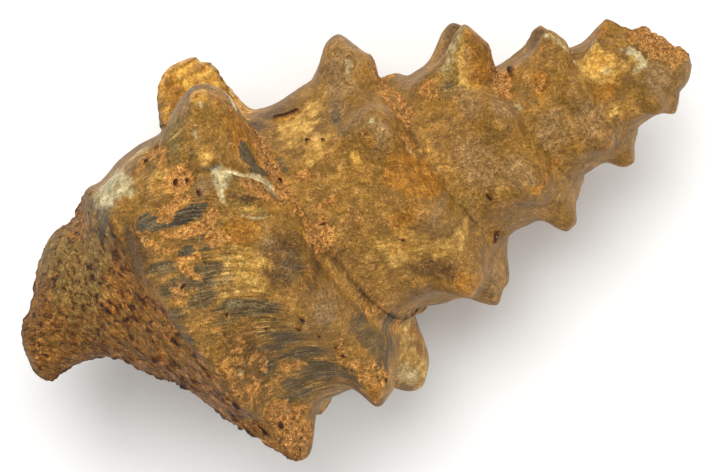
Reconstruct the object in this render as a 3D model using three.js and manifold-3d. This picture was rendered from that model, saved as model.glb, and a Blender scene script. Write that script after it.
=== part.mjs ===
// Fossil gastropod: the filled, stone-hard shell of a spiny high-spired sea snail.
// One closed solid in millimetres, +Z up, lying on three worn knobs with the apex towards +X.
// The origin is the middle of the footprint, level with the ground.
//
// The shell is built about its coiling axis. A place on it is given by
//   s    distance along the axis from the point where the tapering whorls would vanish, in mm
//   phi  angle round the axis in degrees: 0 on top, 90 towards -Y, 180 underneath
// Growth runs round the axis as an angle g, falling by 360 for each whorl towards the apex.

import * as THREE from 'three';
import { mergeVertices } from 'three/addons/utils/BufferGeometryUtils.js';
import Module from 'manifold-3d';

const wasm = await Module();
wasm.setup();

// coiling
const whorlGrowth = 1.33;      // each whorl is this much larger than the one before
const shoulderAt = 56.2;       // s of the knobbed shoulder where g = 0
const suture = -0.16;          // upper seam of a whorl, in whorls from its shoulder
const basalRidge = 0.72;       // row of low knobs round the base, in whorls from the shoulder
const lastTurnEnd = 150;       // growth angle of the broken outer lip
const apexAt = 13.2;           // s of the broken apex
const canalAt = 86.8;          // s of the end of the canal
const apexRounding = 2.5;      // how far the two ends are rounded over
const canalRounding = 1.4;
const softness = 0.8;          // rounding where the last whorl meets the base

// the rounded keel beside the low knobs, and the dip on the base next to it, in mm
const keelRow = 0.74;          // in whorls from the shoulder
const keelRise = 0.7;
const keelHalfWidth = 1.1;
const dipDepth = 0.55;
const dipFromKeel = 2.77;
const dipHalfWidth = 1.54;

// profile of a knob: a blunt core and a wider foot, and the low rib below it
const coreShare = 0.86;
const footSpread = 1.6;
const ribWidth = 0.075;        // shares of s
const ribLength = 0.24;

// the apex is broken off along two slanting faces: a point on each and the way it faces,
// as s, distance towards phi = 90 and distance towards phi = 0
const breaks = [
  { point: [16.2, -4.3, 0], facing: [-0.64, -0.68, 0.60] },
  { point: [14.6, -2.4, 0], facing: [-0.80, -0.55, -0.20] },
];

// the apex end is bent sideways
const bendBy = 1.0;
const bendFrom = 31;
const bendFull = 15;

// the lie of the shell on the ground, in degrees and mm
const roll = 3.10;
const pitch = 0.57;
const place = [50.06, 0.034, 17.44];

// mesh
const rows = 74;
const columns = 66;
const rowCrowding = 0.62;      // 1 spaces the rows evenly, 0 in proportion to s

// whorl outline: radius as a share of s, against whorls below the shoulder
const spireOutline = [
  [-0.16, 0.226], [-0.12, 0.240], [-0.05, 0.262], [0.02, 0.282], [0.12, 0.280],
  [0.30, 0.258], [0.50, 0.240], [0.70, 0.231], [0.84, 0.229],
];
const lastOutline = [
  [-0.16, 0.226], [-0.12, 0.246], [-0.05, 0.270], [0.02, 0.288], [0.12, 0.286],
  [0.30, 0.270], [0.50, 0.258], [0.66, 0.258], [0.74, 0.262], [1.20, 0.262],
];

// base outline on four sides: radius in mm against s
const baseAlong = [56, 60, 64, 67, 70, 73, 76, 78, 80, 82, 84, 86, 88];
const baseSides = [
  { phi: 0, radii: [26, 23, 20.5, 18.2, 15.4, 12.4, 9.8, 8.0, 6.8, 6.0, 5.2, 4.4, 4.0] },
  { phi: 90, radii: [26, 22.5, 19.4, 17.4, 14.7, 9.4, 6.1, 2.6, 1.3, 1.4, 2.4, 3.2, 3.0] },
  { phi: 180, radii: [22, 19, 17, 15.2, 13.2, 11.4, 9.8, 8.8, 7.6, 6.4, 5.2, 4.4, 3.6] },
  { phi: -90, radii: [14.4, 14.0, 14.2, 14.6, 14.2, 12.9, 11.5, 10.9, 9.9, 7.8, 5.0, 3.2, 2.2] },
];

const radians = (degrees) => degrees * Math.PI / 180;
const clamp = THREE.MathUtils.clamp;

// Smooth curve through points, held level beyond both ends.
function curveThrough(points) {
  const xs = points.map((p) => p[0]);
  const ys = points.map((p) => p[1]);
  const last = xs.length - 1;
  const slope = xs.map((x, i) => {
    if (i === 0) return (ys[1] - ys[0]) / (xs[1] - xs[0]);
    if (i === last) return (ys[last] - ys[last - 1]) / (xs[last] - xs[last - 1]);
    const before = x - xs[i - 1];
    const after = xs[i + 1] - x;
    const slopeBefore = (ys[i] - ys[i - 1]) / before;
    const slopeAfter = (ys[i + 1] - ys[i]) / after;
    return (slopeBefore * after + slopeAfter * before) / (before + after);
  });
  return (value) => {
    const x = clamp(value, xs[0], xs[last]);
    let i = 0;
    while (i < last - 1 && x >= xs[i + 1]) i += 1;
    const h = xs[i + 1] - xs[i];
    const t = (x - xs[i]) / h;
    const tt = t * t;
    const ttt = tt * t;
    return (2 * ttt - 3 * tt + 1) * ys[i] + (ttt - 2 * tt + t) * h * slope[i]
      + (3 * tt - 2 * ttt) * ys[i + 1] + (ttt - tt) * h * slope[i + 1];
  };
}

const spireRadius = curveThrough(spireOutline);
const lastRadius = curveThrough(lastOutline);
const baseCurves = baseSides.map((side) => ({
  phi: side.phi,
  radius: curveThrough(baseAlong.map((s, i) => [s, side.radii[i]])),
}));

const shoulderRow = (g, row) => shoulderAt * whorlGrowth ** (g / 360 + row);
const wrapDegrees = (angle) => THREE.MathUtils.euclideanModulo(angle + 180, 360) - 180;
const ease = (from, to, x) => THREE.MathUtils.smoothstep((x - from) / (to - from), 0, 1);
const bell = (x) => Math.exp(-(x ** 2));

// How far a place lies below the last whorl's shoulder, in whorls.
function turnBelowShoulder(s, phi) {
  const g = lastTurnEnd - THREE.MathUtils.euclideanModulo(lastTurnEnd + phi, 360);
  return Math.log(s / shoulderAt) / Math.log(whorlGrowth) - g / 360;
}

// Radius of the plain whorls, without knobs.
function whorlRadius(s, phi) {
  const turn = turnBelowShoulder(s, phi);
  const whorlsUp = Math.max(0, Math.ceil(suture - turn));
  const body = whorlsUp > 0 ? s * spireRadius(turn + whorlsUp) : s * lastRadius(turn);
  let base = 0;
  for (const side of baseCurves) {
    const facing = Math.max(0, Math.cos(radians(phi - side.phi)));
    base += facing * facing * side.radius(s);
  }
  return -softness * Math.log(Math.exp(-body / softness) + Math.exp(-base / softness));
}

// A knob stands out by its height and leans towards the apex. Its foot reaches up, down and
// across as shares of s, and a low rib runs down the whorl from it.
const knobs = [];
function addKnob(g, height, lean, options = {}) {
  const { shift = 0, row = 0, up = 0.036, down = 0.080, across = 0.068 } = options;
  const { blunt = 3.6, rib = 0.022 } = options;
  const s = shoulderRow(g, row) + shift;
  const phi = wrapDegrees(-g);
  const radius = whorlRadius(s, phi);
  knobs.push({
    s, phi, height, lean, blunt, radius, up: up * s, down: down * s, across: across * s,
    rib: rib * s, ribWide: ribWidth * s, ribLong: ribLength * s,
  });
}

// last whorl, from the broken lip backwards
addKnob(93, 6.8, -0.04, { up: 0.064, down: 0.058, blunt: 6, rib: 0, shift: 0.1 });
addKnob(47, 5.2, 0.4, { shift: 0.5, up: 0.045, across: 0.07, blunt: 4 });
addKnob(21, 1.0, 0, { shift: 0.8 });
addKnob(-18, 1.3, 0.1, { across: 0.11, down: 0.1 });
addKnob(-68, 3.7, 0, { shift: 1.2, up: 0.042, down: 0.040 });
addKnob(-106, 3.4, 0.3, { shift: 0.5, up: 0.036, down: 0.075 });
addKnob(-148, 5.2, 0.2, { up: 0.05 });
addKnob(-202, 5.2, 0.2, { up: 0.05 });
addKnob(-240, 3.8, 0.3);

// whorls of the spire: growth angle, height, lean, shift along the axis
const spireKnobs = [
  [-283, 3.2, 0.4, -0.6, { blunt: 7, up: 0.034, across: 0.07 }], [-332, 2.6, 0.3, 0], [-373, 1.7, 0.2, 0],
  [-417, 2.4, 0, 1.0], [-457, 2.0, 0, 1.2, { up: 0.045, down: 0.075, rib: 0.036 }], [-510, 1.4, 0.2, 0.5],
  [-550, 3.4, 0.3, 0], [-583, 3.2, 0.3, 0],
  [-617, 2.7, 0.5, 0, { blunt: 4.5, up: 0.030 }], [-661, 3.2, 0.6, -0.3, { rib: 0.045, down: 0.07 }],
  [-706, 2.2, 0.2, 0], [-753, 1.7, 0, 0.5],
  [-800, 2.0, -0.1, 0.8, { up: 0.028, down: 0.07, rib: 0.01 }], [-858, 1.0, 0.2, 0.5],
  [-893, 2.6, 0.3, 0], [-935, 2.6, 0.4, 0],
  [-983, 1.1, 0.4, -0.1], [-1029, 1.9, 0.5, 0, { rib: 0.045, down: 0.07 }], [-1071, 1.1, 0.2, 0],
  [-1115, 1.3, 0, 0.4], [-1165, 1.3, -0.1, 0.5, { rib: 0 }], [-1218, 0.9, 0, 0], [-1255, 1.7, 0.2, 0],
  [-1305, 1.0, 0.4, 0],
  [-1350, 0.5, 0.2, -0.9], [-1395, 1.0, 0.5, 0, { rib: 0.045 }], [-1440, 1.0, 0.2, 0], [-1485, 0.8, 0, 0.3],
  [-1530, 0.6, 0, -0.4, { rib: 0 }], [-1580, 0.5, 0, 0], [-1620, 1.0, 0.2, 0], [-1665, 0.3, 0.2, 0],
];
for (const [g, height, lean, shift, more] of spireKnobs) addKnob(g, height, lean, { shift, ...more });

// second row of low knobs, round the base: growth angle, height
const basalKnobs = [[42, 2.0], [0, 0.5], [-40, 0.6], [-80, 3.2], [-126, 3.2], [-180, 2.2], [-215, 3.4]];
for (const [g, height] of basalKnobs) {
  addKnob(g, height, 0, { row: basalRidge, up: 0.036, down: 0.055, across: 0.062, blunt: 4, rib: 0 });
}

// broad swellings and hollows: rise in mm, reach along the axis and round it in mm
const swellings = [
  { s: 69, phi: -128, rise: 3.2, along: 9, around: 3.2 },    // outer lip
  { s: 70, phi: -158, rise: -3.4, along: 8, around: 5.0 },   // filled mouth of the shell
  { s: 80, phi: 178, rise: -1.0, along: 6, around: 1.6 },    // groove of the canal
  { s: 42, phi: -92, rise: 1.1, along: 1.5, around: 4.0 },   // sediment banked in a seam
].map((swelling) => ({ ...swelling, radius: whorlRadius(swelling.s, swelling.phi) }));

// A point of the finished surface, with -X towards the base and +Z over phi = 0.
function surfacePoint(s, phi) {
  const fromApex = clamp((s - apexAt) / apexRounding, 0, 1);
  const fromCanal = clamp((canalAt - s) / canalRounding, 0, 1);
  const closing = Math.sqrt(1 - (1 - fromApex) ** 2) * Math.sqrt(1 - (1 - fromCanal) ** 2);
  const radius = whorlRadius(s, phi) * closing;
  const fromKeel = (turnBelowShoulder(s, phi) - keelRow) * Math.log(whorlGrowth) * s;
  const rise = keelRise * bell(fromKeel / keelHalfWidth);
  const dip = dipDepth * bell((fromKeel - dipFromKeel) / dipHalfWidth);
  let out = radius + (rise - dip) * ease(0.3, 0.9, closing);
  const side = Math.sin(radians(phi));
  const top = Math.cos(radians(phi));
  let along = s;
  let outSide = 0;
  let outTop = 0;
  for (const knob of knobs) {
    const around = radians(wrapDegrees(phi - knob.phi)) * Math.min(knob.radius, radius);
    const below = s - knob.s;
    const reach = below < 0 ? knob.up : knob.down;
    const q = Math.hypot(below / reach, around / knob.across);
    const core = Math.exp(-(q ** knob.blunt));
    const lift = knob.height * (coreShare * core + (1 - coreShare) * bell(q / footSpread));
    along -= lift * knob.lean;
    outSide += lift * Math.sin(radians(knob.phi));
    outTop += lift * Math.cos(radians(knob.phi));
    const ribAt = below / knob.ribLong;
    const fade = ease(-0.05, 0.12, ribAt) * (1 - ease(0.55, 1, ribAt));
    out += knob.rib * bell(around / knob.ribWide) * fade;
  }
  for (const swelling of swellings) {
    const around = radians(wrapDegrees(phi - swelling.phi)) * swelling.radius;
    const lengthways = (s - swelling.s) / swelling.along;
    out += swelling.rise * Math.exp(-(lengthways ** 4) - (around / swelling.around) ** 2);
  }
  const bend = bendBy * ease(bendFrom, bendFull, s);
  return new THREE.Vector3(-along, bend - (out * side + outSide), out * top + outTop);
}

// Rings round the axis, closed by a point at each end.
function shellGeometry() {
  const points = [surfacePoint(apexAt, 0)];
  for (let row = 1; row < rows; row += 1) {
    const share = row / rows;
    const even = apexAt + (canalAt - apexAt) * share;
    const proportional = apexAt * (canalAt / apexAt) ** share;
    const s = rowCrowding * even + (1 - rowCrowding) * proportional;
    for (let column = 0; column < columns; column += 1) {
      points.push(surfacePoint(s, 360 * column / columns));
    }
  }
  points.push(surfacePoint(canalAt, 0));
  const faces = [];
  const at = (row, column) => 1 + (row - 1) * columns + column % columns;
  for (let column = 0; column < columns; column += 1) {
    faces.push(0, at(1, column), at(1, column + 1));
    faces.push(points.length - 1, at(rows - 1, column + 1), at(rows - 1, column));
    for (let row = 1; row < rows - 1; row += 1) {
      const corners = [at(row, column), at(row + 1, column), at(row + 1, column + 1), at(row, column + 1)];
      const cutOne = points[corners[0]].distanceTo(points[corners[2]]);
      const cutTwo = points[corners[1]].distanceTo(points[corners[3]]);
      if (cutOne <= cutTwo) {
        faces.push(corners[0], corners[1], corners[2], corners[0], corners[2], corners[3]);
      } else {
        faces.push(corners[0], corners[1], corners[3], corners[1], corners[2], corners[3]);
      }
    }
  }
  const geometry = new THREE.BufferGeometry();
  geometry.setAttribute('position', new THREE.Float32BufferAttribute(points.flatMap((p) => p.toArray()), 3));
  geometry.setIndex(faces);
  return geometry;
}

function toSolid(geometry) {
  geometry.deleteAttribute('normal');
  geometry.deleteAttribute('uv');
  const merged = mergeVertices(geometry, 1e-4);
  return new wasm.Manifold(new wasm.Mesh({
    numProp: 3,
    vertProperties: new Float32Array(merged.attributes.position.array),
    triVerts: new Uint32Array(merged.index.array),
  }));
}

function toGeometry(solid) {
  const mesh = solid.getMesh();
  const geometry = new THREE.BufferGeometry();
  geometry.setAttribute('position', new THREE.BufferAttribute(new Float32Array(mesh.vertProperties), 3));
  geometry.setIndex(new THREE.BufferAttribute(new Uint32Array(mesh.triVerts), 1));
  geometry.computeVertexNormals();
  return geometry;
}

// A block that lies beyond one broken face of the apex.
function beyondBreak({ point, facing }) {
  const size = 30;
  const toFrame = ([s, side, top]) => new THREE.Vector3(-s, -side, top);
  const block = new THREE.BoxGeometry(size, size, size).translate(0, 0, size / 2);
  const turn = new THREE.Quaternion().setFromUnitVectors(new THREE.Vector3(0, 0, 1), toFrame(facing).normalize());
  return block.applyMatrix4(new THREE.Matrix4().compose(toFrame(point), turn, new THREE.Vector3(1, 1, 1)));
}

// The shell is turned to its lie, and its three lowest knobs are worn flat at ground level.
const lie = new THREE.Matrix4().makeRotationFromEuler(
  new THREE.Euler(radians(roll), radians(pitch), 0, 'XYZ'),
);
lie.setPosition(...place);
let broken = toSolid(shellGeometry());
for (const face of breaks) broken = broken.subtract(toSolid(beyondBreak(face)));
const standing = toGeometry(broken).applyMatrix4(lie);
const groundDepth = 10;
const ground = new THREE.BoxGeometry(120, 120, groundDepth).translate(0, 0, -groundDepth / 2);
const worn = toSolid(standing).subtract(toSolid(ground));

const stone = new THREE.MeshStandardMaterial({ color: 0x9a713e, roughness: 0.62, metalness: 0 });
const shell = new THREE.Mesh(toGeometry(worn), stone);
shell.name = 'shell';

const fossilGastropod = new THREE.Group();
fossilGastropod.add(shell);

export default fossilGastropod;
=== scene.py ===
import math
import bpy
import numpy as np
from mathutils import Matrix, Vector


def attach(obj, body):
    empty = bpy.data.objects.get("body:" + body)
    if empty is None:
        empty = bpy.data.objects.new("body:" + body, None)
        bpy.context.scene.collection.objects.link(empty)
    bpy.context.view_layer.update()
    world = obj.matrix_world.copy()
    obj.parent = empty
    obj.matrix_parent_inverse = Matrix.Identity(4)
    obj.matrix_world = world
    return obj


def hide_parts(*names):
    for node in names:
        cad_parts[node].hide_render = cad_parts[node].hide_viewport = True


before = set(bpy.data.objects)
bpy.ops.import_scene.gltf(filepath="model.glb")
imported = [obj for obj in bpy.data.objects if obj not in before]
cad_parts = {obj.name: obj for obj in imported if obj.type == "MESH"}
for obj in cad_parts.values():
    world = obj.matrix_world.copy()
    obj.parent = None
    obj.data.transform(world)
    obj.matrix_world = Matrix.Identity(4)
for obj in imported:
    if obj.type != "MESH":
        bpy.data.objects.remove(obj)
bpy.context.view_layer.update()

print("frame loaded")


def ease(start, end, x):
    t = np.clip((np.asarray(x, float) - start) / (end - start), 0, 1)
    return t * t * (3 - 2 * t)


def bell(x):
    return np.exp(-x * x)


def curveThrough(points, x):
    xs = np.array([p[0] for p in points], float)
    ys = np.array([p[1] for p in points], float)
    slopes = np.gradient(ys, xs)
    x = np.clip(x, xs[0], xs[-1])
    i = np.clip(np.searchsorted(xs, x, side="right") - 1, 0, len(xs) - 2)
    h = xs[i + 1] - xs[i]
    t = (x - xs[i]) / h
    t2, t3 = t * t, t * t * t
    return ((2 * t3 - 3 * t2 + 1) * ys[i] + (t3 - 2 * t2 + t) * h * slopes[i]
            + (3 * t2 - 2 * t3) * ys[i + 1] + (t3 - t2) * h * slopes[i + 1])


def wrapDegrees(angle):
    return np.mod(angle + 180, 360) - 180


metresPerMm = 0.001
latticeSize = 256  # the random numbers of the noise repeat after this many cells
cellMargin = 0.08  # how near its cell's side a scattered point may lie
farMm = 99.0  # farther away than anything on the shell


def shuffledTwice(rng):
    order = rng.permutation(latticeSize)
    return np.concatenate([order, order])


def latticeCorners(points, order, steps):  # cells round every point: the step, its number, the way to there
    base = np.floor(points).astype(np.int64)
    part = points - base
    last = latticeSize - 1
    for dx in steps:
        for dy in steps:
            for dz in steps:
                pick = order[order[(base[..., 0] + dx) & last] + ((base[..., 1] + dy) & last)]
                pick = order[(pick + base[..., 2] + dz) & last]
                yield (dx, dy, dz), pick, part - np.array([dx, dy, dz])


def noiseField(points, seed):  # gradient noise, about -0.6 to 0.6, one cell to a unit
    rng = np.random.RandomState(seed)
    order = shuffledTwice(rng)
    slopes = rng.normal(size=(latticeSize, 3))
    slopes /= np.linalg.norm(slopes, axis=1, keepdims=True)
    part = points - np.floor(points)
    fade = part ** 3 * (part * (part * 6 - 15) + 10)
    total = np.zeros(points.shape[:-1])
    for step, pick, way in latticeCorners(points, order, (0, 1)):
        share = np.where(step, fade, 1 - fade)
        total += share[..., 0] * share[..., 1] * share[..., 2] * (way * slopes[pick]).sum(-1)
    return total


def roughField(points, sizeMm, octaves, seed, gain=0.5):
    octaveShift = 17.3
    total = np.zeros(points.shape[:-1])
    for octave in range(octaves):
        place = points / sizeMm * 2 ** octave + octaveShift * octave
        total += gain ** octave * noiseField(place, seed + octave)
    return total


def roughSum(points, parts):  # each part: height, size in mm, octaves, seed
    return sum(height * roughField(points, *rest) for height, *rest in parts)


def cellField(points, seed):  # distance to the nearest scattered point, and that point's own random number
    rng = np.random.RandomState(seed)
    order = shuffledTwice(rng)
    jitter = rng.uniform(cellMargin, 1 - cellMargin, size=(latticeSize, 3))
    number = rng.uniform(size=latticeSize)
    nearest = np.full(points.shape[:-1], farMm)
    own = np.zeros(points.shape[:-1])
    for step, pick, way in latticeCorners(points, order, (-1, 0, 1)):
        away = np.sqrt(((way - jitter[pick]) ** 2).sum(-1))
        closer = away < nearest
        nearest = np.where(closer, away, nearest)
        own = np.where(closer, number[pick], own)
    return nearest, own


# The whole shell, in millimetres, about its coiling axis. along is the distance from the point where the
# whorls would vanish, around the angle in degrees: 0 on top, 90 towards -Y, 180 underneath.
shellForm = {
    "whorlGrowth": 1.33, "shoulderAt": 56.2, "suture": -0.16, "basalRidge": 0.72, "lastTurnEnd": 150,
    "apexAt": 13.2, "canalAt": 86.8, "apexRounding": 2.5, "canalRounding": 1.4, "softness": 0.8,
    "keelRow": 0.74, "keelRise": 0.7, "keelHalfWidth": 1.1, "keelFades": (0.3, 0.9), "dipDepth": 0.55,
    "dipFromKeel": 2.77, "dipHalfWidth": 1.54, "bendBy": 1, "bendFrom": 31, "bendFull": 15,
    "roll": 3.10, "pitch": 0.57, "place": (50.06, 0.034, 17.44),
    "spireOutline": [
        (-0.16, 0.226), (-0.12, 0.24), (-0.05, 0.262), (0.02, 0.282), (0.12, 0.28), (0.3, 0.258),
        (0.5, 0.24), (0.7, 0.231), (0.84, 0.229)],
    "lastOutline": [
        (-0.16, 0.226), (-0.12, 0.246), (-0.05, 0.27), (0.02, 0.288), (0.12, 0.286), (0.3, 0.27),
        (0.5, 0.258), (0.66, 0.258), (0.74, 0.262), (1.2, 0.262)],
    "baseAlong": [56, 60, 64, 67, 70, 73, 76, 78, 80, 82, 84, 86, 88],
    "baseSides": [(0, [26, 23, 20.5, 18.2, 15.4, 12.4, 9.8, 8, 6.8, 6, 5.2, 4.4, 4]),
                  (90, [26, 22.5, 19.4, 17.4, 14.7, 9.4, 6.1, 2.6, 1.3, 1.4, 2.4, 3.2, 3]),
                  (180, [22, 19, 17, 15.2, 13.2, 11.4, 9.8, 8.8, 7.6, 6.4, 5.2, 4.4, 3.6]),
                  (-90, [14.4, 14, 14.2, 14.6, 14.2, 12.9, 11.5, 10.9, 9.9, 7.8, 5, 3.2, 2.2])],
    # knobs: growth angle, height, lean, shift along the axis, and what differs from the usual knob, whose
    # sizes are shares of its place along the axis
    "usualKnob": {"up": 0.036, "down": 0.080, "across": 0.068, "blunt": 3.6, "rib": 0.022},
    "basalKnob": {"up": 0.036, "down": 0.055, "across": 0.062, "blunt": 4, "rib": 0},
    "knobs": [
        (93, 6.8, -0.04, 0.1, {"up": 0.064, "down": 0.058, "blunt": 6, "rib": 0}),
        (47, 5.2, 0.4, 0.5, {"up": 0.045, "across": 0.07, "blunt": 4}), (21, 1, 0, 0.8),
        (-18, 1.3, 0.1, 0, {"across": 0.11, "down": 0.1}), (-68, 3.7, 0, 1.2, {"up": 0.042, "down": 0.04}),
        (-106, 3.4, 0.3, 0.5, {"up": 0.036, "down": 0.075}), (-148, 5.2, 0.2, 0, {"up": 0.05}),
        (-202, 5.2, 0.2, 0, {"up": 0.05}), (-240, 3.8, 0.3, 0),
        (-283, 3.2, 0.4, -0.6, {"blunt": 7, "up": 0.034, "across": 0.07}), (-332, 2.6, 0.3, 0),
        (-373, 1.7, 0.2, 0), (-417, 2.4, 0, 1),
        (-457, 2, 0, 1.2, {"up": 0.045, "down": 0.075, "rib": 0.036}), (-510, 1.4, 0.2, 0.5),
        (-550, 3.4, 0.3, 0), (-583, 3.2, 0.3, 0), (-617, 2.7, 0.5, 0, {"blunt": 4.5, "up": 0.03}),
        (-661, 3.2, 0.6, -0.3, {"rib": 0.045, "down": 0.07}), (-706, 2.2, 0.2, 0), (-753, 1.7, 0, 0.5),
        (-800, 2, -0.1, 0.8, {"up": 0.028, "down": 0.07, "rib": 0.01}), (-858, 1, 0.2, 0.5),
        (-893, 2.6, 0.3, 0), (-935, 2.6, 0.4, 0), (-983, 1.1, 0.4, -0.1),
        (-1029, 1.9, 0.5, 0, {"rib": 0.045, "down": 0.07}), (-1071, 1.1, 0.2, 0), (-1115, 1.3, 0, 0.4),
        (-1165, 1.3, -0.1, 0.5, {"rib": 0}), (-1218, 0.9, 0, 0), (-1255, 1.7, 0.2, 0), (-1305, 1, 0.4, 0),
        (-1350, 0.5, 0.2, -0.9), (-1395, 1, 0.5, 0, {"rib": 0.045}), (-1440, 1, 0.2, 0),
        (-1485, 0.8, 0, 0.3), (-1530, 0.6, 0, -0.4, {"rib": 0}), (-1580, 0.5, 0, 0), (-1620, 1, 0.2, 0),
        (-1665, 0.3, 0.2, 0)],
    "basalKnobs": [(42, 2), (0, 0.5), (-40, 0.6), (-80, 3.2), (-126, 3.2), (-180, 2.2), (-215, 3.4)],
    "knobReach": 4, "coreShare": 0.86, "footSpread": 1.6, "ribWidth": 0.075, "ribLength": 0.24,
    "ribReach": 0.26, "ribStarts": (-0.05, 0.12), "ribEnds": (0.55, 1),
    # along, around, rise, reach along, reach round
    "swellings": [(69, -128, 3.2, 9, 3.2), (70, -158, -3.4, 8, 5), (80, 178, -1, 6, 1.6),
                  (42, -92, 1.1, 1.5, 4)],
}
growthLog = math.log(shellForm["whorlGrowth"])


def shoulderRow(growth):
    return shellForm["shoulderAt"] * shellForm["whorlGrowth"] ** (growth / 360)


def turnPlace(along, around):  # growth angle, whorls from the shoulder, and which whorl it is
    last = shellForm["lastTurnEnd"]
    growth = last - np.mod(last + around, 360)
    turn = np.log(along / shellForm["shoulderAt"]) / growthLog - growth / 360
    whorl = np.maximum(0, np.ceil(shellForm["suture"] - turn))
    return growth - 360 * whorl, turn + whorl, whorl


def whorlRadius(along, around):
    growth, turn, whorl = turnPlace(along, around)
    spire = along * curveThrough(shellForm["spireOutline"], turn)
    last = along * curveThrough(shellForm["lastOutline"], turn)
    base = 0
    for side, radii in shellForm["baseSides"]:
        facing = np.maximum(0, np.cos(np.radians(around - side)))
        base = base + facing ** 2 * curveThrough(list(zip(shellForm["baseAlong"], radii)), along)
    k = shellForm["softness"]
    return -k * np.log(np.exp(-np.where(whorl > 0, spire, last) / k) + np.exp(-base / k))


def radiusAt(at, angle):
    return float(whorlRadius(np.array([float(at)]), np.array([float(angle)]))[0])


def knobList():
    form = shellForm
    wanted = [(0, *knob) for knob in form["knobs"]]
    wanted += [(form["basalRidge"], g, h, 0, 0, form["basalKnob"]) for g, h in form["basalKnobs"]]
    knobs = []
    for row, g, height, lean, shift, *more in wanted:
        size = {**form["usualKnob"], **(more[0] if more else {})}
        along = shoulderRow(g + 360 * row) + shift
        around = float(wrapDegrees(-g))
        knob = {part: size[part] * along for part in ("up", "down", "across", "rib")}
        knobs.append({"along": along, "around": around, "height": height, "lean": lean,
                      "blunt": size["blunt"], "radius": radiusAt(along, around), **knob})
    return knobs


def plainSurface(along, around):
    form = shellForm
    reach = form["knobReach"]
    growth, turn, whorl = turnPlace(along, around)
    plain = whorlRadius(along, around)
    closing = np.sqrt(1 - (1 - np.clip((along - form["apexAt"]) / form["apexRounding"], 0, 1)) ** 2)
    atCanal = np.clip((form["canalAt"] - along) / form["canalRounding"], 0, 1)
    closing = closing * np.sqrt(1 - (1 - atCanal) ** 2)
    plain = plain * closing
    fromKeel = (turn - whorl - form["keelRow"]) * growthLog * along
    keel = form["keelRise"] * bell(fromKeel / form["keelHalfWidth"])
    dip = form["dipDepth"] * bell((fromKeel - form["dipFromKeel"]) / form["dipHalfWidth"])
    out = plain + (keel - dip) * ease(*form["keelFades"], closing)
    shift = np.zeros(along.shape + (3,))
    for knob in knobList():
        farDown = max(reach * knob["down"], form["ribReach"] * knob["along"])
        rowsNear = np.where((along[:, 0] > knob["along"] - reach * knob["up"])
                            & (along[:, 0] < knob["along"] + farDown))[0]
        reachDegrees = math.degrees(reach * knob["across"] / knob["radius"])
        columnsNear = np.where(np.abs(wrapDegrees(around[0] - knob["around"])) < reachDegrees)[0]
        near = np.ix_(rowsNear, columnsNear)
        sideways = np.radians(wrapDegrees(around[near] - knob["around"]))
        sideways = sideways * np.minimum(knob["radius"], plain[near])
        below = along[near] - knob["along"]
        q = np.hypot(below / np.where(below < 0, knob["up"], knob["down"]), sideways / knob["across"])
        share = form["coreShare"] * np.exp(-q ** knob["blunt"])
        share = share + (1 - form["coreShare"]) * bell(q / form["footSpread"])
        turned = math.radians(knob["around"])
        lift = knob["height"] * share
        shift[near] += lift[..., None] * np.array([-knob["lean"], math.sin(turned), math.cos(turned)])
        ribAt = below / (form["ribLength"] * knob["along"])
        fade = ease(*form["ribStarts"], ribAt) * (1 - ease(*form["ribEnds"], ribAt))
        out[near] += knob["rib"] * bell(sideways / (form["ribWidth"] * knob["along"])) * fade
    for at, angle, rise, reachAlong, reachRound in form["swellings"]:
        sideways = np.radians(wrapDegrees(around - angle)) * radiusAt(at, angle)
        out += rise * np.exp(-((along - at) / reachAlong) ** 4 - (sideways / reachRound) ** 2)
    angle = np.radians(around)
    points = np.stack([along, out * np.sin(angle), out * np.cos(angle)], -1) + shift
    points[..., 1] -= form["bendBy"] * ease(form["bendFrom"], form["bendFull"], along)
    return points, plain


def outwardNormals(points):
    down = np.gradient(points, axis=0)
    across = np.roll(points, -1, 1) - np.roll(points, 1, 1)
    normals = np.cross(across, down)
    return normals / np.maximum(np.linalg.norm(normals, axis=-1, keepdims=True), 1e-9)


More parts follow.
